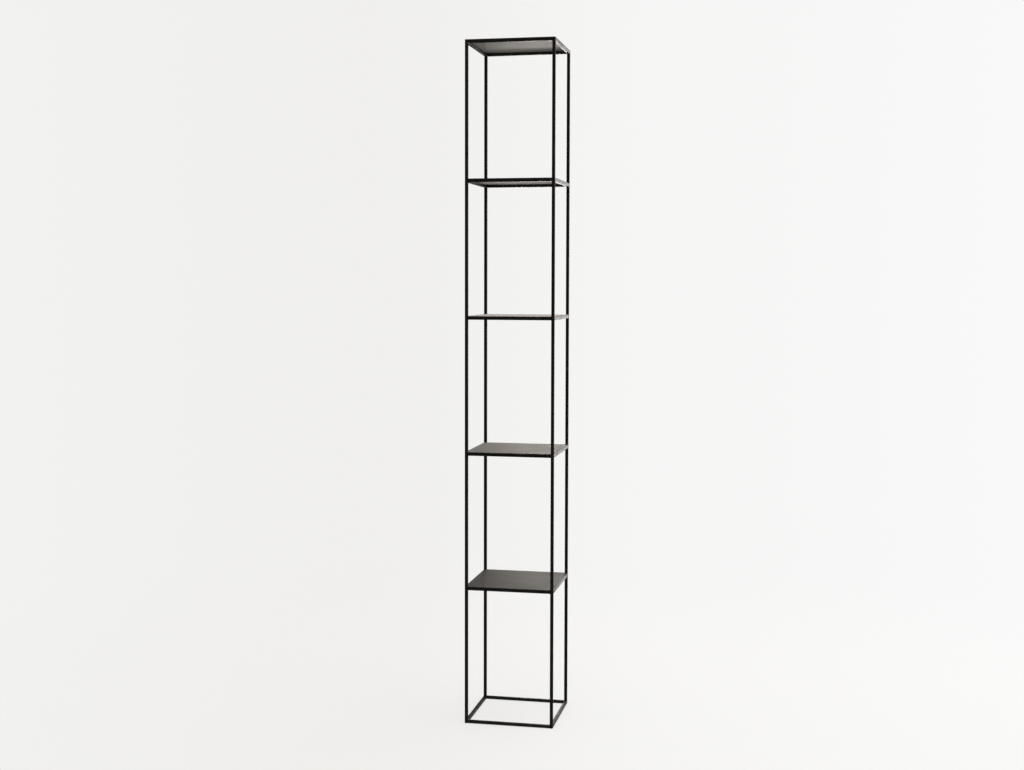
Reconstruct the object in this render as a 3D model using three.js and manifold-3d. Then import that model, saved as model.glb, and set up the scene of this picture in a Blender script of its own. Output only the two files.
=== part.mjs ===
// Slim square tower of open shelves, welded from square steel bar and steel sheet.
// Four posts stand at the corners. At the floor and at each level four rails close a ring
// between them. Every ring but the one on the floor carries a flat sheet.
// Millimetres, +Z up, the front faces -Y. The origin is on the floor, in the middle.

import * as THREE from 'three';
import { mergeVertices } from 'three/addons/utils/BufferGeometryUtils.js';
import Module from 'manifold-3d';

const wasm = await Module();
wasm.setup();

// Outer size, and the number of bays that share the height
const WIDTH = 300;
const DEPTH = 300;
const HEIGHT = 2273;
const BAYS = 5;

// Solid square bar, with its drawn edge
const BAR = 10;
const BAR_EDGE_RADIUS = 0.8;
const BAR_EDGE_STEPS = 2;

// Shelf sheet, with its softened cut edge, and its clearance round the posts
const SHEET = 2;
const SHEET_EDGE_RADIUS = 0.4;
const SHEET_EDGE_STEPS = 2;
const NOTCH_CLEARANCE = 0.3;

// Fillet weld at the end of each rail and in the inner corners of each ring
const WELD_LEG = 1.5;
const WELD_STEPS = 3;

// Stitch welds that hold a sheet down to the inner faces of its rails
const STITCH_LEG = 2;
const STITCH_LENGTH = 16;
const STITCH_PLACE_SHARES = [-0.3, 0.3];

// Self-adhesive glide under each post
const GLIDE_THICKNESS = 1;
const GLIDE_DIAMETER = 8.4;
const GLIDE_EDGE = 0.3;
const GLIDE_SIDES = 24;

// Sizes that follow from the ones above
const POST_HEIGHT = HEIGHT - GLIDE_THICKNESS - SHEET;
const PITCH = (POST_HEIGHT - BAR) / BAYS;
const POST_X = (WIDTH - BAR) / 2;
const POST_Y = (DEPTH - BAR) / 2;
const RAIL_LENGTH_X = WIDTH - 2 * BAR;
const RAIL_LENGTH_Y = DEPTH - 2 * BAR;
const BAR_FLAT = BAR - 2 * BAR_EDGE_RADIUS;

const barSteel = { color: 0x141313, roughness: 0.42, metalness: 0.0 };
const sheetSteel = { color: 0x1c1a19, roughness: 0.38, metalness: 0.0 };
const glideRubber = { color: 0x1a1a1a, roughness: 0.95, metalness: 0.0 };

// A shape's outline as a closed solid for joining and cutting
function toSolid(geometry) {
  const bare = geometry.index ? geometry.toNonIndexed() : geometry.clone();
  bare.deleteAttribute('normal');
  bare.deleteAttribute('uv');
  const merged = mergeVertices(bare);
  const vertProperties = new Float32Array(merged.attributes.position.array);
  const triVerts = new Uint32Array(merged.index.array);
  return new wasm.Manifold(new wasm.Mesh({ numProp: 3, vertProperties, triVerts }));
}

function toGeometry(solid) {
  const mesh = solid.getMesh();
  const geometry = new THREE.BufferGeometry();
  geometry.setAttribute('position', new THREE.BufferAttribute(mesh.vertProperties, 3));
  geometry.setIndex(new THREE.BufferAttribute(mesh.triVerts, 1));
  geometry.computeVertexNormals();
  return geometry;
}

function namedMesh(name, geometry, finish) {
  const mesh = new THREE.Mesh(geometry, new THREE.MeshStandardMaterial(finish));
  mesh.name = name;
  return mesh;
}

// The bar's section, square with round edges, centred on its own axis
function barSection() {
  const half = BAR / 2;
  const flat = BAR_FLAT / 2;
  const shape = new THREE.Shape();
  shape.moveTo(half, flat);
  shape.absarc(flat, flat, BAR_EDGE_RADIUS, 0, Math.PI / 2);
  shape.lineTo(-flat, half);
  shape.absarc(-flat, flat, BAR_EDGE_RADIUS, Math.PI / 2, Math.PI);
  shape.lineTo(-half, -flat);
  shape.absarc(-flat, -flat, BAR_EDGE_RADIUS, Math.PI, 1.5 * Math.PI);
  shape.lineTo(flat, -half);
  shape.absarc(flat, -flat, BAR_EDGE_RADIUS, 1.5 * Math.PI, 2 * Math.PI);
  return shape;
}

// A straight cut length of bar standing on its lower end
function barLength(length) {
  return new THREE.ExtrudeGeometry(barSection(), {
    depth: length,
    bevelEnabled: false,
    curveSegments: BAR_EDGE_STEPS,
  });
}

// A bead in the corner between two faces: hollow-faced in section, its legs along +X and
// +Y from the corner, and run into the bar below the corner by the bar's edge radius
function beadSection(leg) {
  const shape = new THREE.Shape();
  shape.moveTo(0, -BAR_EDGE_RADIUS);
  shape.lineTo(leg, -BAR_EDGE_RADIUS);
  shape.lineTo(leg, 0);
  shape.absarc(leg, leg, leg, 1.5 * Math.PI, Math.PI, true);
  shape.lineTo(0, -BAR_EDGE_RADIUS);
  return shape;
}

function bead(leg, length) {
  const geometry = new THREE.ExtrudeGeometry(beadSection(leg), {
    depth: length,
    bevelEnabled: false,
    curveSegments: WELD_STEPS,
  });
  geometry.translate(0, 0, -length / 2);
  return geometry;
}

// Weld across the end of a rail, on its upper or its lower face, against the post
function endWeld(length, end, side) {
  const geometry = bead(WELD_LEG, BAR_FLAT);
  geometry.rotateX(Math.PI / 2);
  if (side < 0) geometry.rotateX(Math.PI);
  if (end > 0) geometry.rotateZ(Math.PI);
  geometry.translate((end * length) / 2, 0, (side * BAR) / 2);
  return geometry;
}

// Upright weld in the inner corner of a ring, where two rails meet behind the post
function cornerWeld(length, end) {
  const geometry = bead(WELD_LEG, BAR_FLAT);
  if (end > 0) geometry.rotateY(Math.PI);
  geometry.translate((end * length) / 2, BAR / 2, 0);
  return geometry;
}

// Short weld along the inner face of a rail, up against the sheet that lies on the rail
function stitchWeld(length, share) {
  const geometry = bead(STITCH_LEG, STITCH_LENGTH);
  geometry.rotateY(Math.PI / 2);
  geometry.translate(share * length, BAR / 2, BAR / 2);
  return geometry;
}

// A rail lies along X, its inner face towards +Y, centred on its own axis
function railGeometry(length, { weldSide, cornerWelds, stitches }) {
  const stock = barLength(length);
  stock.rotateY(Math.PI / 2);
  stock.translate(-length / 2, 0, 0);
  let rail = toSolid(stock);
  for (const end of [-1, 1]) {
    rail = rail.add(toSolid(endWeld(length, end, weldSide)));
    if (cornerWelds) rail = rail.add(toSolid(cornerWeld(length, end)));
  }
  if (stitches) {
    for (const share of STITCH_PLACE_SHARES) {
      rail = rail.add(toSolid(stitchWeld(length, share)));
    }
  }
  return toGeometry(rail);
}

// The four rails of a ring: where each lies and how it is turned so that it faces inwards
const RING_SIDES = [
  { side: 'front', length: RAIL_LENGTH_X, x: 0, y: -POST_Y, turn: 0, cornerWelds: true },
  { side: 'right', length: RAIL_LENGTH_Y, x: POST_X, y: 0, turn: Math.PI / 2, cornerWelds: false },
  { side: 'back', length: RAIL_LENGTH_X, x: 0, y: POST_Y, turn: Math.PI, cornerWelds: true },
  { side: 'left', length: RAIL_LENGTH_Y, x: -POST_X, y: 0, turn: -Math.PI / 2, cornerWelds: false },
];

function ring(prefix, weldSide, stitches) {
  const group = new THREE.Group();
  for (const { side, length, x, y, turn, cornerWelds } of RING_SIDES) {
    const geometry = railGeometry(length, { weldSide, cornerWelds, stitches });
    const rail = namedMesh(`${prefix}_rail_${side}`, geometry, barSteel);
    rail.position.set(x, y, BAR / 2);
    rail.rotation.z = turn;
    group.add(rail);
  }
  return group;
}

// Outline of the top sheet, which covers the ends of the posts
function plainOutline() {
  const x = WIDTH / 2;
  const y = DEPTH / 2;
  const shape = new THREE.Shape();
  shape.moveTo(-x, -y);
  shape.lineTo(x, -y);
  shape.lineTo(x, y);
  shape.lineTo(-x, y);
  return shape;
}

// Outline of a shelf sheet, its corners cut back round the posts
function notchedOutline() {
  const x = WIDTH / 2;
  const y = DEPTH / 2;
  const cut = BAR + NOTCH_CLEARANCE;
  const shape = new THREE.Shape();
  shape.moveTo(-x + cut, -y);
  shape.lineTo(x - cut, -y);
  shape.lineTo(x - cut, -y + cut);
  shape.lineTo(x, -y + cut);
  shape.lineTo(x, y - cut);
  shape.lineTo(x - cut, y - cut);
  shape.lineTo(x - cut, y);
  shape.lineTo(-x + cut, y);
  shape.lineTo(-x + cut, y - cut);
  shape.lineTo(-x, y - cut);
  shape.lineTo(-x, -y + cut);
  shape.lineTo(-x + cut, -y + cut);
  return shape;
}

// A flat sheet with eased edges, lying on z = 0
function sheet(name, outline) {
  const geometry = new THREE.ExtrudeGeometry(outline, {
    depth: SHEET - 2 * SHEET_EDGE_RADIUS,
    bevelEnabled: true,
    bevelThickness: SHEET_EDGE_RADIUS,
    bevelSize: SHEET_EDGE_RADIUS,
    bevelOffset: -SHEET_EDGE_RADIUS,
    bevelSegments: SHEET_EDGE_STEPS,
  });
  geometry.translate(0, 0, SHEET_EDGE_RADIUS);
  return namedMesh(name, geometry, sheetSteel);
}

// The four corners, named as seen from the front
const CORNERS = [
  { corner: 'front_left', x: -POST_X, y: -POST_Y },
  { corner: 'front_right', x: POST_X, y: -POST_Y },
  { corner: 'back_left', x: -POST_X, y: POST_Y },
  { corner: 'back_right', x: POST_X, y: POST_Y },
];

function post({ corner, x, y }) {
  const mesh = namedMesh(`post_${corner}`, barLength(POST_HEIGHT), barSteel);
  mesh.position.set(x, y, GLIDE_THICKNESS);
  return mesh;
}

// A thin disc stuck to the end of a post, its lower edge eased
function glide({ corner, x, y }) {
  const radius = GLIDE_DIAMETER / 2;
  const profile = [
    new THREE.Vector2(0, 0),
    new THREE.Vector2(radius - GLIDE_EDGE, 0),
    new THREE.Vector2(radius, GLIDE_EDGE),
    new THREE.Vector2(radius, GLIDE_THICKNESS),
    new THREE.Vector2(0, GLIDE_THICKNESS),
  ];
  const geometry = new THREE.LatheGeometry(profile, GLIDE_SIDES);
  geometry.rotateX(Math.PI / 2);
  const mesh = namedMesh(`glide_${corner}`, geometry, glideRubber);
  mesh.position.set(x, y, 0);
  return mesh;
}

// The ring on the floor is open: its welds are on top, and no sheet lies on it
function baseLevel() {
  const level = ring('base', 1, false);
  level.position.z = GLIDE_THICKNESS;
  return level;
}

// A ring with its sheet, welded below, where the sheet hides the joints
function shelfLevel(index) {
  const isTop = index === BAYS;
  const prefix = isTop ? 'top' : `shelf_${index}`;
  const level = ring(prefix, -1, true);
  const plate = sheet(`${prefix}_sheet`, isTop ? plainOutline() : notchedOutline());
  plate.position.z = BAR;
  level.add(plate);
  level.position.z = GLIDE_THICKNESS + index * PITCH;
  return level;
}

const tower = new THREE.Group();
for (const corner of CORNERS) {
  tower.add(post(corner));
  tower.add(glide(corner));
}
tower.add(baseLevel());
for (let index = 1; index <= BAYS; index += 1) tower.add(shelfLevel(index));

export default tower;
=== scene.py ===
import math

import bmesh
import bpy
from mathutils import Matrix, Vector, noise


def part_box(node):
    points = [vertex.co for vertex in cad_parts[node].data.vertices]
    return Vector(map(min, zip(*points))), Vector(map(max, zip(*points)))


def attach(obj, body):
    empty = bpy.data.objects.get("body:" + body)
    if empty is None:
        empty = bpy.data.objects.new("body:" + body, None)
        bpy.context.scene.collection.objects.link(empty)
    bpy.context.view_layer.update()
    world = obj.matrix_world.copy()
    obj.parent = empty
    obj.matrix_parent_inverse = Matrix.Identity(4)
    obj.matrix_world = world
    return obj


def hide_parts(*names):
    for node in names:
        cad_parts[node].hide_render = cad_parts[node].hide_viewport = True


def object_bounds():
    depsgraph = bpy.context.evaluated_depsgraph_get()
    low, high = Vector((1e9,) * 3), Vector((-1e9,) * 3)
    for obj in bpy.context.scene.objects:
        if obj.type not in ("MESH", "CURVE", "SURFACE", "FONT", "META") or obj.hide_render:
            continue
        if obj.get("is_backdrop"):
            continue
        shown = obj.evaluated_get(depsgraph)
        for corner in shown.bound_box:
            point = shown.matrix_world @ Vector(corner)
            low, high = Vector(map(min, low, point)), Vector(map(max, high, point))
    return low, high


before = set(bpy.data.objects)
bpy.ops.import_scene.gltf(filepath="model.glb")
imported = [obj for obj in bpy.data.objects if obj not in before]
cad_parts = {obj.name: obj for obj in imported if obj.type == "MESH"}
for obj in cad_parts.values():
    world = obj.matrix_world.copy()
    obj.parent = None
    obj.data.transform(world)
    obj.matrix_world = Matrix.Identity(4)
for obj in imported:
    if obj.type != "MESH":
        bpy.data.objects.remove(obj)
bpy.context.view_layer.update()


# Camera. It stands about five metres off to the right of the front, at just under two thirds of
# the tower's height, and is tilted down a little at its middle. A slight drop of the lens keeps
# the floor ring and the top equally far from the edges of the picture.
camera_place = Vector((0.9628, -4.8229, 1.4909))
camera_turn = math.radians(11.528)
camera_tilt = math.radians(86.438)
camera_roll = math.radians(0.130)
lens = bpy.data.cameras.new("camera")
lens.sensor_fit = "HORIZONTAL"
lens.sensor_width = 36.0
lens.lens = 51.05
lens.shift_y = -0.015
camera = bpy.data.objects.new("camera", lens)
camera.matrix_world = (
    Matrix.Translation(camera_place)
    @ Matrix.Rotation(camera_turn, 4, "Z")
    @ Matrix.Rotation(camera_tilt, 4, "X")
    @ Matrix.Rotation(camera_roll, 4, "Z")
)
bpy.context.collection.objects.link(camera)
bpy.context.scene.camera = camera


# Corner posts. Four full lengths of solid 10 mm square bar, cold-drawn mild steel with softly
# rounded edges, sawn square and dressed at both ends. Every ring is welded to them, and the
# whole frame is powder-coated near black, dullest on the posts, with a fine grain and orange peel.
bar_edge_radius = 0.0008
bar_edge_steps = 5
saw_ease = 0.0003
saw_ease_steps = 3
worn_patch = 0.018
thick_patch = 0.045
gloss_patch = 0.070
gloss_grain = 0.0012
gloss_unevenness = 0.035
gloss_grain_unevenness = 0.02
peel_width = 0.0022
grain_width = 0.0003
grain_height = 0.000002
dust_spread = 0.19
dust_tint = (1.0, 0.94, 0.88)


def bar_outline(width, depth, radius):
    """Points round the bar's section, counter-clockwise, with its drawn edges rounded."""
    points = []
    for corner in range(4):
        start = corner * math.pi / 2
        across = width / 2 - radius
        deep = depth / 2 - radius
        centre_u = across if corner in (0, 3) else -across
        centre_v = deep if corner in (0, 1) else -deep
        for step in range(bar_edge_steps + 1):
            angle = start + (math.pi / 2) * step / bar_edge_steps
            u = centre_u + radius * math.cos(angle)
            v = centre_v + radius * math.sin(angle)
            points.append((u, v))
    return points


def skin(shell, loops):
    """Joins loops of equal length with quads and closes both ends."""
    for lower, upper in zip(loops, loops[1:]):
        for i, corner in enumerate(lower):
            j = (i + 1) % len(lower)
            shell.faces.new((corner, lower[j], upper[j], upper[i]))
    shell.faces.new(list(reversed(loops[0])))
    shell.faces.new(loops[-1])


def bar_stock(shell, length, width, depth):
    """A sawn length of bar along X, centred, its sawn ends eased by the dressing wheel."""
    eased_end = []
    for step in range(saw_ease_steps + 1):
        angle = (math.pi / 2) * step / saw_ease_steps
        in_from_end = saw_ease * (1 - math.cos(angle))
        inset = saw_ease * (1 - math.sin(angle))
        eased_end.append((in_from_end, inset))
    stations = [(-length / 2 + in_from_end, inset) for in_from_end, inset in eased_end]
    stations += [(length / 2 - in_from_end, inset) for in_from_end, inset in reversed(eased_end)]
    loops = []
    for along, inset in stations:
        outline = bar_outline(width - 2 * inset, depth - 2 * inset, bar_edge_radius)
        loops.append([shell.verts.new((along, u, v)) for u, v in outline])
    skin(shell, loops)


def fabricate(name, shell, placing, coat, slot, *stands_for):
    """Makes the shell into a piece of the tower, in place of the CAD nodes it stands for."""
    bmesh.ops.recalc_face_normals(shell, faces=shell.faces)
    shell.transform(placing)
    mesh = bpy.data.meshes.new(name)
    shell.to_mesh(mesh)
    shell.free()
    mesh.shade_smooth()
    mesh.materials.append(coat)
    piece = bpy.data.objects.new(name, mesh)
    bpy.context.collection.objects.link(piece)
    flats = piece.modifiers.new("flat faces stay flat", "WEIGHTED_NORMAL")
    flats.keep_sharp = True
    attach(piece, "root")
    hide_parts(*stands_for)
    return piece


def powder_coat(name, colour, painted_edge_highlight, satin, peel_height, index=1.5, dust=0.0):
    """Cured powder on steel: orange peel, grain, uneven satin, a painted highlight on edges and
    fine dust.
    """
    coat = bpy.data.materials.new(name)
    coat.use_nodes = True
    nodes = coat.node_tree.nodes
    links = coat.node_tree.links
    nodes.clear()
    surface = nodes.new("ShaderNodeOutputMaterial")
    shader = nodes.new("ShaderNodeBsdfPrincipled")
    shader.inputs["Metallic"].default_value = 0.0
    shader.inputs["IOR"].default_value = index
    shader.inputs["Sheen Weight"].default_value = dust
    shader.inputs["Sheen Roughness"].default_value = dust_spread
    shader.inputs["Sheen Tint"].default_value = (*dust_tint, 1.0)
    links.new(shader.outputs["BSDF"], surface.inputs["Surface"])
    place = nodes.new("ShaderNodeTexCoord")

    def cloud(size, detail, roughness=0.5):
        texture = nodes.new("ShaderNodeTexNoise")
        texture.inputs["Scale"].default_value = 1.0 / size
        texture.inputs["Detail"].default_value = detail
        texture.inputs["Roughness"].default_value = roughness
        links.new(place.outputs["Object"], texture.inputs["Vector"])
        return texture.outputs["Fac"]

    def spread(value, low, high, to_low, to_high):
        ramp = nodes.new("ShaderNodeMapRange")
        ramp.inputs["From Min"].default_value = low
        ramp.inputs["From Max"].default_value = high
        ramp.inputs["To Min"].default_value = to_low
        ramp.inputs["To Max"].default_value = to_high
        links.new(value, ramp.inputs["Value"])
        return ramp.outputs["Result"]

    def combine(kind, first, second):
        sum_of = nodes.new("ShaderNodeMath")
        sum_of.operation = kind
        links.new(first, sum_of.inputs[0])
        links.new(second, sum_of.inputs[1])
        return sum_of.outputs["Value"]

    # Edges, in patches, painted paler as a highlight
    shape = nodes.new("ShaderNodeNewGeometry")
    edge = spread(shape.outputs["Pointiness"], 0.52, 0.60, 0.0, 1.0)
    highlight_patches = spread(cloud(worn_patch, 3.0, 0.6), 0.42, 0.66, 0.0, 1.0)
    painted_highlight_mask = combine("MULTIPLY", edge, highlight_patches)

    # Colour: patches a little warmer and paler where the powder lies thick, and a painted
    # highlight on edges
    patches = spread(cloud(thick_patch, 4.0, 0.55), 0.3, 0.7, 0.0, 1.0)
    tone = nodes.new("ShaderNodeMix")
    tone.data_type = "RGBA"
    tone.inputs["A"].default_value = (*colour, 1.0)
    tone.inputs["B"].default_value = (*[1.35 * part for part in colour], 1.0)
    links.new(patches, tone.inputs["Factor"])
    # Painted highlight: the edges are mixed towards a paler colour
    edge_tone = nodes.new("ShaderNodeMix")
    edge_tone.data_type = "RGBA"
    edge_tone.inputs["B"].default_value = (*painted_edge_highlight, 1.0)
    links.new(painted_highlight_mask, edge_tone.inputs["Factor"])
    links.new(tone.outputs["Result"], edge_tone.inputs["A"])
    links.new(edge_tone.outputs["Result"], shader.inputs["Base Color"])

    # Satin: uneven over hand-sized patches and again at the size of the grain, smoother on edges
    broad = cloud(gloss_patch, 3.0)
    broad = spread(broad, 0.3, 0.7, satin - gloss_unevenness, satin + gloss_unevenness)
    fine = cloud(gloss_grain, 2.0)
    fine = spread(fine, 0.3, 0.7, -gloss_grain_unevenness, gloss_grain_unevenness)
    gloss = combine("ADD", broad, fine)
    rubbed = spread(painted_highlight_mask, 0.0, 1.0, 0.0, -0.04)
    links.new(combine("ADD", gloss, rubbed), shader.inputs["Roughness"])

    # Relief: orange peel about 2 mm across, with grains of a quarter of a millimetre on it
    peel = nodes.new("ShaderNodeBump")
    peel.inputs["Strength"].default_value = 1.0
    peel.inputs["Distance"].default_value = peel_height
    links.new(cloud(peel_width, 1.0), peel.inputs["Height"])
    grain = nodes.new("ShaderNodeBump")
    grain.inputs["Strength"].default_value = 1.0
    grain.inputs["Distance"].default_value = grain_height
    links.new(cloud(grain_width, 1.0), grain.inputs["Height"])
    links.new(peel.outputs["Normal"], grain.inputs["Normal"])
    links.new(grain.outputs["Normal"], shader.inputs["Normal"])
    return coat


post_coat = powder_coat(
    "near_black_coat_on_posts",
    colour=(0.0048, 0.0044, 0.0042),
    painted_edge_highlight=(0.010, 0.009, 0.009),
    satin=0.52,
    peel_height=0.000007,
    index=1.33,
)

for corner in ("front_left", "front_right", "back_left", "back_right"):
    low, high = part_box(f"post_{corner}")
    size = high - low
    post = bmesh.new()
    bar_stock(post, size.z, size.y, size.x)
    upright = Matrix.Translation((low + high) / 2) @ Matrix.Rotation(-math.pi / 2, 4, "Y")
    fabricate(f"corner_post_{corner}", post, upright, post_coat, "bar_steel", f"post_{corner}")


# Rails. Square bar again, cut to sit flush between the posts, four to a ring, in a smoother
# satin coat. Each end is fillet-welded across its hidden face, and the inner corners are welded
# upright. Under every sheet two short stitches a side hold the sheet down to its rails.
bar = 0.010
end_bead_leg = 0.0015
end_bead_length = 0.0084
stitch_leg = 0.0020
stitch_length = 0.016
stitch_places = (-0.3, 0.3)
ripple_pitch = 0.0016
ripple_depth = 0.05
ripple_lean = 0.35
stations_per_ripple = 6
bead_root = 0.0007
bead_crater = 0.15
bead_fullness = 0.93
bead_wander = 0.05
wander_rate = 300
bead_face_steps = 6


def weld_bead(shell, leg, length, placing, seed):
    """A closed fillet bead along Z in the corner of +X and +Y, rippled as the puddle froze."""
    stations = round(length / ripple_pitch) * stations_per_ripple
    loops = []
    for station in range(stations + 1):
        share = station / stations
        along = (share - 0.5) * length
        run_out = max(bead_crater, math.sqrt(max(0.0, 1.0 - (2 * share - 1) ** 8)))
        wander = noise.noise(Vector((seed, along * wander_rate, 0.0)))
        foot = leg * (0.2 + 0.8 * run_out)
        loop = [(-bead_root, -bead_root), (foot, -bead_root)]
        for step in range(bead_face_steps + 1):
            angle = math.pi / 2 * step / bead_face_steps
            mid_face = math.sin(2 * angle)
            lean = along + ripple_lean * leg * mid_face
            ripple = 0.5 + 0.5 * math.cos(2 * math.pi * lean / ripple_pitch)
            fullness = bead_fullness + bead_wander * wander - ripple_depth * ripple * mid_face
            reach = leg * run_out * fullness
            loop.append((reach * (1 - math.sin(angle)), reach * (1 - math.cos(angle))))
        loop.append((-bead_root, foot))
        loops.append([shell.verts.new(placing @ Vector((x, y, along))) for x, y in loop])
    skin(shell, loops)


def rail_with_welds(shell, length, weld_side, corner_welds, stitches, seed):
    """A rail along X with its inner face towards +Y, and the beads that belong to it."""
    bar_stock(shell, length, bar, bar)
    for end in (-1, 1):
        inward = Vector((-end, 0, 0))
        face = Vector((0, 0, weld_side))
        across = inward.cross(face)
        placing = Matrix.Translation((end * length / 2, 0, weld_side * bar / 2))
        placing = placing @ Matrix((inward, face, across)).transposed().to_4x4()
        weld_bead(shell, end_bead_leg, end_bead_length, placing, seed + end)
        if corner_welds:
            face = Vector((0, 1, 0))
            placing = Matrix.Translation((end * length / 2, bar / 2, 0))
            placing = placing @ Matrix((inward, face, inward.cross(face))).transposed().to_4x4()
            weld_bead(shell, end_bead_leg, end_bead_length, placing, seed + 3 * end)
    if not stitches:
        return
    inward = Vector((0, 1, 0))
    face = Vector((0, 0, -1))
    for place in stitch_places:
        placing = Matrix.Translation((place * length, bar / 2, bar / 2))
        placing = placing @ Matrix((inward, face, inward.cross(face))).transposed().to_4x4()
        weld_bead(shell, stitch_leg, stitch_length, placing, seed + 10 * place)


rail_sides = {
    "front": (0, (0, -1), True),
    "right": (90, (1, 0), False),
    "back": (180, (0, 1), True),
    "left": (-90, (-1, 0), False),
}
rail_coat = powder_coat(
    "near_black_coat_on_rails",
    colour=(0.0050, 0.0046, 0.0043),
    painted_edge_highlight=(0.010, 0.009, 0.009),
    satin=0.28,
    peel_height=0.000006,
)
rings = ["base"] + [f"shelf_{level}" for level in range(1, 5)] + ["top"]
for level, ring in enumerate(rings):
    on_floor = ring == "base"
    for side, (turn, outward, corner_welds) in rail_sides.items():
        low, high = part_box(f"{ring}_rail_{side}")
        length = max(high.x - low.x, high.y - low.y)
        centre = (low + high) / 2
        if outward[0]:
            centre.x = outward[0] * (max(abs(low.x), abs(high.x)) - bar / 2)
        if outward[1]:
            centre.y = outward[1] * (max(abs(low.y), abs(high.y)) - bar / 2)
        centre.z = low.z + bar / 2 if on_floor else high.z - bar / 2
        rail = bmesh.new()
        weld_side = 1 if on_floor else -1
        seed = 7.3 * level + turn / 45
        rail_with_welds(rail, length, weld_side, corner_welds, not on_floor, seed)
        placing = Matrix.Translation(centre) @ Matrix.Rotation(math.radians(turn), 4, "Z")
        name = f"{ring}_ring_rail_{side}"
        fabricate(name, rail, placing, rail_coat, "bar_steel", f"{ring}_rail_{side}")


# Sheets. Laser-cut 2 mm steel, burrs rolled off the cut edges, laid on the rings and drawn a
# little out of flat by the welding. The four shelves are notched round the posts; the top one
# covers the post ends. The coat is a shade warmer, and fine dust on it shows at a low angle.
cut_edge_radius = 0.0004
cut_edge_steps = 3
notch_corner_radius = 0.0006
notch_clear = 0.0003
sheet_cell = 0.020
fold_angle = 0.5
draw_of_weld = 0.00012
draw_held_margin = 0.015
draw_fade = 0.05
draw_rate = 7


def cut_sheet(low, high, notched, seed):
    """A sheet between two corners, of even cells, eased all round."""
    shell = bmesh.new()
    cut = bar + notch_clear
    thick = high.z - low.z

    def stations(start, end):
        inner = (end - start) - 2 * cut
        count = round(inner / sheet_cell)
        between = [start + cut + inner * i / count for i in range(count + 1)]
        return [start, *between, end]

    across = stations(low.x, high.x)
    deep = stations(low.y, high.y)
    last_x, last_y = len(across) - 1, len(deep) - 1
    corners = {}
    for i, x in enumerate(across):
        for j, y in enumerate(deep):
            is_tip = i in (0, last_x) and j in (0, last_y)
            if not (notched and is_tip):
                corners[i, j] = shell.verts.new((x, y, low.z))
    for i in range(last_x):
        for j in range(last_y):
            cell = [(i, j), (i, j + 1), (i + 1, j + 1), (i + 1, j)]
            if all(key in corners for key in cell):
                shell.faces.new([corners[key] for key in cell])
    lifted = bmesh.ops.extrude_face_region(shell, geom=shell.faces[:])["geom"]
    for part in lifted:
        if isinstance(part, bmesh.types.BMVert):
            part.co.z += thick
    bmesh.ops.recalc_face_normals(shell, faces=shell.faces)

    def is_upright(edge):
        return abs(edge.verts[0].co.z - edge.verts[1].co.z) > thick / 2

    def is_corner(edge):
        return is_upright(edge) and edge.calc_face_angle(0.0) > fold_angle

    def is_rim(edge):
        return not is_upright(edge) and edge.calc_face_angle(0.0) > fold_angle

    bmesh.ops.bevel(
        shell,
        geom=[edge for edge in shell.edges if is_corner(edge)],
        offset=notch_corner_radius,
        segments=cut_edge_steps,
        profile=0.5,
        affect="EDGES",
    )
    bmesh.ops.bevel(
        shell,
        geom=[edge for edge in shell.edges if is_rim(edge)],
        offset=cut_edge_radius,
        segments=cut_edge_steps,
        profile=0.5,
        affect="EDGES",
    )
    for corner in shell.verts:
        x, y, z = corner.co
        if z < high.z - cut_edge_radius / 10:
            continue
        clear = min(x - low.x, high.x - x, y - low.y, high.y - y)
        free = min(1.0, max(0.0, (clear - draw_held_margin) / draw_fade))
        wave = 0.5 + 0.5 * noise.noise(Vector((x * draw_rate, y * draw_rate, seed)))
        corner.co.z -= draw_of_weld * free * free * (3 - 2 * free) * (0.6 + wave)
    return shell


sheet_coat = powder_coat(
    "near_black_coat_on_sheet",
    colour=(0.0100, 0.0085, 0.0070),
    painted_edge_highlight=(0.018, 0.016, 0.014),
    satin=0.40,
    dust=0.78,
    peel_height=0.000006,
)

for level, ring in enumerate(rings):
    if ring == "base":
        continue
    low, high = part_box(f"{ring}_sheet")
    sheet = cut_sheet(low, high, ring != "top", 3.1 * level)
    fabricate(f"{ring}_steel_sheet", sheet, Matrix(), sheet_coat, "sheet_steel", f"{ring}_sheet")


# Glides. A round pad of black rubber a millimetre thick is stuck under each post, its lower
# edge eased, so that the steel neither scratches the floor nor rings on it.
glide_turns = 40
glide_edge = 0.0003
glide_edge_steps = 4
rubber_dust_rate = 700.0
rubber_pebble_rate = 2500.0


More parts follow.
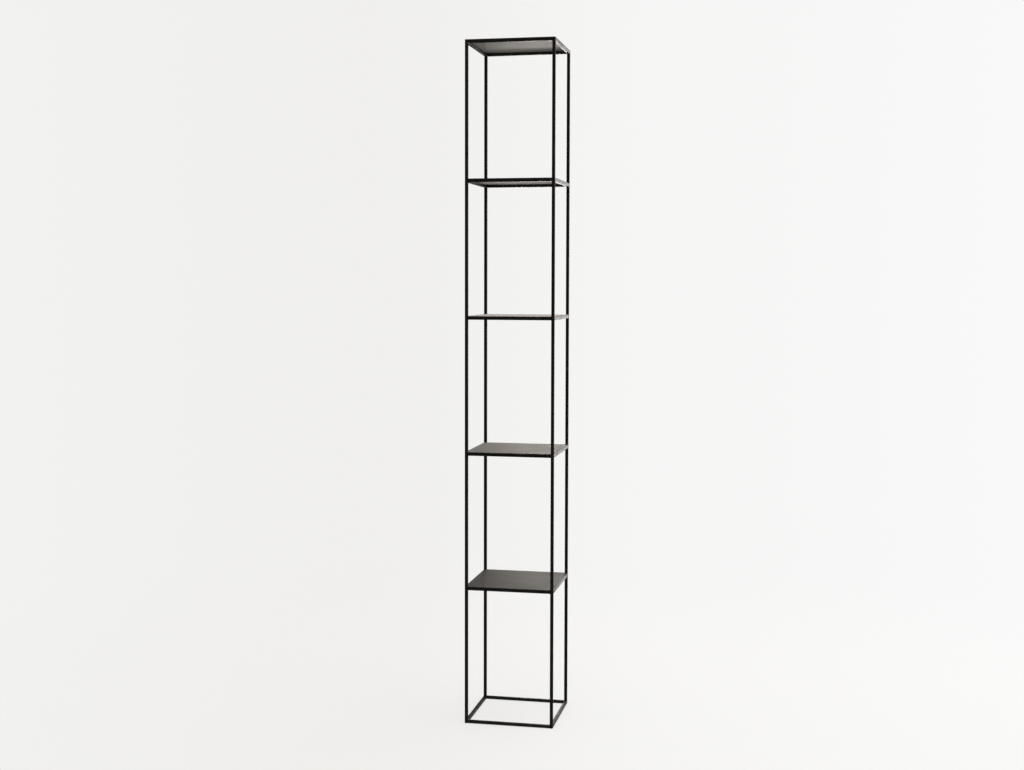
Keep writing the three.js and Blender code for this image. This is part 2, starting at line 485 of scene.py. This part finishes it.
def rubber(name):
    """Matt moulded rubber with a fine pebble and a little dust on it."""
    pad = bpy.data.materials.new(name)
    pad.use_nodes = True
    nodes = pad.node_tree.nodes
    links = pad.node_tree.links
    nodes.clear()
    surface = nodes.new("ShaderNodeOutputMaterial")
    shader = nodes.new("ShaderNodeBsdfPrincipled")
    links.new(shader.outputs["BSDF"], surface.inputs["Surface"])
    place = nodes.new("ShaderNodeTexCoord")
    dust = nodes.new("ShaderNodeTexNoise")
    dust.inputs["Scale"].default_value = rubber_dust_rate
    dust.inputs["Detail"].default_value = 4.0
    pebble = nodes.new("ShaderNodeTexVoronoi")
    pebble.inputs["Scale"].default_value = rubber_pebble_rate
    links.new(place.outputs["Object"], dust.inputs["Vector"])
    links.new(place.outputs["Object"], pebble.inputs["Vector"])
    tone = nodes.new("ShaderNodeMix")
    tone.data_type = "RGBA"
    tone.inputs["A"].default_value = (0.012, 0.012, 0.012, 1.0)
    tone.inputs["B"].default_value = (0.040, 0.038, 0.035, 1.0)
    links.new(dust.outputs["Fac"], tone.inputs["Factor"])
    links.new(tone.outputs["Result"], shader.inputs["Base Color"])
    matt = nodes.new("ShaderNodeMapRange")
    matt.inputs["To Min"].default_value = 0.75
    matt.inputs["To Max"].default_value = 0.95
    links.new(dust.outputs["Fac"], matt.inputs["Value"])
    links.new(matt.outputs["Result"], shader.inputs["Roughness"])
    relief = nodes.new("ShaderNodeBump")
    relief.inputs["Strength"].default_value = 0.6
    relief.inputs["Distance"].default_value = 0.00002
    links.new(pebble.outputs["Distance"], relief.inputs["Height"])
    links.new(relief.outputs["Normal"], shader.inputs["Normal"])
    return pad


glide_rubber = rubber("black_glide_rubber")
for corner in ("front_left", "front_right", "back_left", "back_right"):
    low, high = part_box(f"glide_{corner}")
    radius = (high.x - low.x) / 2
    thick = high.z - low.z
    glide = bmesh.new()
    profile = [(radius - glide_edge, 0.0)]
    for step in range(1, glide_edge_steps + 1):
        angle = math.pi / 2 * step / glide_edge_steps
        reach = radius - glide_edge + glide_edge * math.sin(angle)
        profile.append((reach, glide_edge * (1 - math.cos(angle))))
    profile.append((radius, thick))
    loops = []
    for reach, height in profile:
        loop = []
        for turn in range(glide_turns):
            angle = 2 * math.pi * turn / glide_turns
            x, y = reach * math.cos(angle), reach * math.sin(angle)
            loop.append(glide.verts.new((x, y, height)))
        loops.append(loop)
    skin(glide, loops)
    placing = Matrix.Translation(((low.x + high.x) / 2, (low.y + high.y) / 2, low.z))
    name = f"glide_pad_{corner}"
    fabricate(name, glide, placing, glide_rubber, "glide_rubber", f"glide_{corner}")


# Floor. A plain pale studio floor, matt. Near the tower the picture takes about a fifth of its
# tone from it, enough for the shadow, and less and less towards its rim, where the backdrop
# takes over without a line.
floor_radius = 3.2
fade_from = 0.5
fade_to = 3.1
washed_out_share = 0.78
floor_shell = bmesh.new()
bmesh.ops.create_circle(floor_shell, cap_ends=True, segments=96, radius=floor_radius)
floor_mesh = bpy.data.meshes.new("floor")
floor_shell.to_mesh(floor_mesh)
floor_shell.free()
floor = bpy.data.objects.new("floor", floor_mesh)
bpy.context.collection.objects.link(floor)
floor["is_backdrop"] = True
floor_paint = bpy.data.materials.new("pale_floor")
floor_paint.use_nodes = True
nodes = floor_paint.node_tree.nodes
links = floor_paint.node_tree.links
nodes.clear()
floor_surface = nodes.new("ShaderNodeOutputMaterial")
matt_paint = nodes.new("ShaderNodeBsdfDiffuse")
matt_paint.inputs["Color"].default_value = (0.848, 0.838, 0.823, 1.0)
backdrop_through = nodes.new("ShaderNodeBsdfTransparent")
run_out = nodes.new("ShaderNodeMixShader")
place = nodes.new("ShaderNodeTexCoord")
from_middle = nodes.new("ShaderNodeVectorMath")
from_middle.operation = "LENGTH"
fade = nodes.new("ShaderNodeMapRange")
fade.interpolation_type = "SMOOTHSTEP"
fade.inputs["From Min"].default_value = fade_from
fade.inputs["From Max"].default_value = fade_to
fade.inputs["To Min"].default_value = washed_out_share
links.new(place.outputs["Object"], from_middle.inputs[0])
links.new(from_middle.outputs["Value"], fade.inputs["Value"])
ray = nodes.new("ShaderNodeLightPath")
looked_at = nodes.new("ShaderNodeMath")
looked_at.operation = "MAXIMUM"
links.new(ray.outputs["Is Camera Ray"], looked_at.inputs[0])
links.new(ray.outputs["Is Glossy Ray"], looked_at.inputs[1])
thinned = nodes.new("ShaderNodeMath")
thinned.operation = "MULTIPLY"
links.new(fade.outputs["Result"], thinned.inputs[0])
links.new(looked_at.outputs["Value"], thinned.inputs[1])
links.new(thinned.outputs["Value"], run_out.inputs["Fac"])
links.new(matt_paint.outputs["BSDF"], run_out.inputs[1])
links.new(backdrop_through.outputs["BSDF"], run_out.inputs[2])
links.new(run_out.outputs["Shader"], floor_surface.inputs["Surface"])
floor_mesh.materials.append(floor_paint)


# Studio. A pale backdrop all round, brighter to the right, and diffuse light, stronger off the
# floor. The gloss mirrors a room that is dim at the left, far right, overhead and behind the
# camera. The far low soft box shines along the sheets, and the strip shows in the right faces.
bpy.context.scene.view_settings.view_transform = "Standard"
room = bpy.data.worlds.new("studio")
bpy.context.scene.world = room
room.use_nodes = True
nodes = room.node_tree.nodes
links = room.node_tree.links
nodes.clear()
room_out = nodes.new("ShaderNodeOutputWorld")
look = nodes.new("ShaderNodeTexCoord")
ray = nodes.new("ShaderNodeLightPath")


def along_direction(direction):
    """How far a view into the room points along a direction, from -1 to 1."""
    dot = nodes.new("ShaderNodeVectorMath")
    dot.operation = "DOT_PRODUCT"
    dot.inputs[1].default_value = direction
    links.new(look.outputs["Generated"], dot.inputs[0])
    return dot.outputs["Value"]


def eased(value, low, high, to_low, to_high):
    """A smooth change of level over a range of a value."""
    ranged = nodes.new("ShaderNodeMapRange")
    ranged.interpolation_type = "SMOOTHSTEP"
    ranged.inputs["From Min"].default_value = low
    ranged.inputs["From Max"].default_value = high
    ranged.inputs["To Min"].default_value = to_low
    ranged.inputs["To Max"].default_value = to_high
    links.new(value, ranged.inputs["Value"])
    return ranged.outputs["Result"]


def joined(kind, first, second=None):
    """One step of arithmetic on levels."""
    step = nodes.new("ShaderNodeMath")
    step.operation = kind
    links.new(first, step.inputs[0])
    if second is not None:
        links.new(second, step.inputs[1])
    return step.outputs["Value"]


def tones(value, low, high, stops):
    """A colour ramp over a range of a value."""
    ranged = nodes.new("ShaderNodeMapRange")
    ranged.inputs["From Min"].default_value = low
    ranged.inputs["From Max"].default_value = high
    links.new(value, ranged.inputs["Value"])
    ramp = nodes.new("ShaderNodeValToRGB")
    ramp.color_ramp.interpolation = "EASE"
    while len(ramp.color_ramp.elements) < len(stops):
        ramp.color_ramp.elements.new(0.5)
    for element, (place_on_ramp, colour) in zip(ramp.color_ramp.elements, stops):
        element.position = place_on_ramp
        element.color = (*colour, 1.0)
    links.new(ranged.outputs["Result"], ramp.inputs["Fac"])
    return ramp.outputs["Color"]


def background(colour, strength=1.0):
    """Light from the room, whose colour and strength are each fixed or worked out by nodes."""
    light = nodes.new("ShaderNodeBackground")
    if isinstance(strength, float):
        light.inputs["Strength"].default_value = strength
    else:
        links.new(strength, light.inputs["Strength"])
    if isinstance(colour, tuple):
        light.inputs["Color"].default_value = (*colour, 1.0)
    else:
        links.new(colour, light.inputs["Color"])
    return light.outputs["Background"]


def choose(flag, otherwise, chosen):
    """One light where the flag is down, and another where it is up."""
    mix = nodes.new("ShaderNodeMixShader")
    links.new(flag, mix.inputs["Fac"])
    links.new(otherwise, mix.inputs[1])
    links.new(chosen, mix.inputs[2])
    return mix.outputs["Shader"]


to_the_right = along_direction((0.9797, 0.2004, 0.0))
to_the_back = along_direction((-0.2004, 0.9797, 0.0))
backdrop = tones(
    to_the_right,
    -0.40,
    0.40,
    [
        (0.0, (0.890, 0.889, 0.880)),
        (0.38, (0.874, 0.867, 0.852)),
        (0.64, (0.922, 0.920, 0.916)),
        (1.0, (0.950, 0.950, 0.950)),
    ],
)
upward = along_direction((0.0, 0.0, 1.0))
from_level = joined("ABSOLUTE", upward)
dimmer_upward = eased(upward, 0.03, 0.13, 1.0, 0.45)
lit_from_right = eased(to_the_right, -0.045, 0.08, 0.0, 0.80)
flagged_at_right = eased(to_the_right, 0.24, 0.38, 1.0, 0.04)
lit_at_eye_level = eased(from_level, 0.02, 0.12, 1.0, 0.58)
dim_behind_camera = eased(to_the_back, -0.4, 0.3, 0.05, 1.0)
mirror_level = lit_from_right
for share in (lit_at_eye_level, dim_behind_camera, flagged_at_right, dimmer_upward):
    mirror_level = joined("MULTIPLY", mirror_level, share)
even_level = eased(upward, -0.12, 0.0, 1.12, 0.74)
even_light = background((1.0, 0.99, 0.975), even_level)
mirror_light = background((0.99, 0.93, 0.87), mirror_level)
in_a_mirror = joined("MAXIMUM", ray.outputs["Is Glossy Ray"], ray.outputs["Is Transmission Ray"])
seen = choose(in_a_mirror, even_light, mirror_light)
seen = choose(ray.outputs["Is Camera Ray"], seen, background(backdrop))
links.new(seen, room_out.inputs["Surface"])


def soft_box(name, stands_at, aimed_at, width, height, watts, colour):
    """A large diffused studio lamp, aimed at a point."""
    lamp = bpy.data.lights.new(name, "AREA")
    lamp.shape = "RECTANGLE"
    lamp.size = width
    lamp.size_y = height
    lamp.energy = watts
    lamp.color = colour
    box = bpy.data.objects.new(name, lamp)
    aim = (Vector(aimed_at) - Vector(stands_at)).to_track_quat("-Z", "Y")
    box.matrix_world = Matrix.Translation(stands_at) @ aim.to_matrix().to_4x4()
    bpy.context.collection.objects.link(box)
    return box


overhead_white = (1.0, 0.985, 0.965)
right_white = (1.0, 0.98, 0.955)
far_white = (1.0, 0.95, 0.89)
strip_white = (1.0, 0.97, 0.93)
soft_box("overhead_box", (0.6, 0.2, 4.6), (0.0, 0.0, 0.0), 3.2, 3.2, 78.0, overhead_white)
soft_box("right_box", (3.4, 2.4, 1.6), (0.0, 0.0, 1.1), 2.2, 3.0, 56.0, right_white)
horizon = soft_box("far_low_box", (-0.7, 8.0, 1.27), (0.0, 0.0, 1.27), 1.9, 0.6, 24.0, far_white)
strip = soft_box("strip_box", (0.45, 1.5, 1.33), (0.17, 0.0, 1.33), 0.2, 2.44, 4.0, strip_white)
horizon.visible_camera = False
strip.visible_camera = False
strip.visible_diffuse = False


low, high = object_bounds()
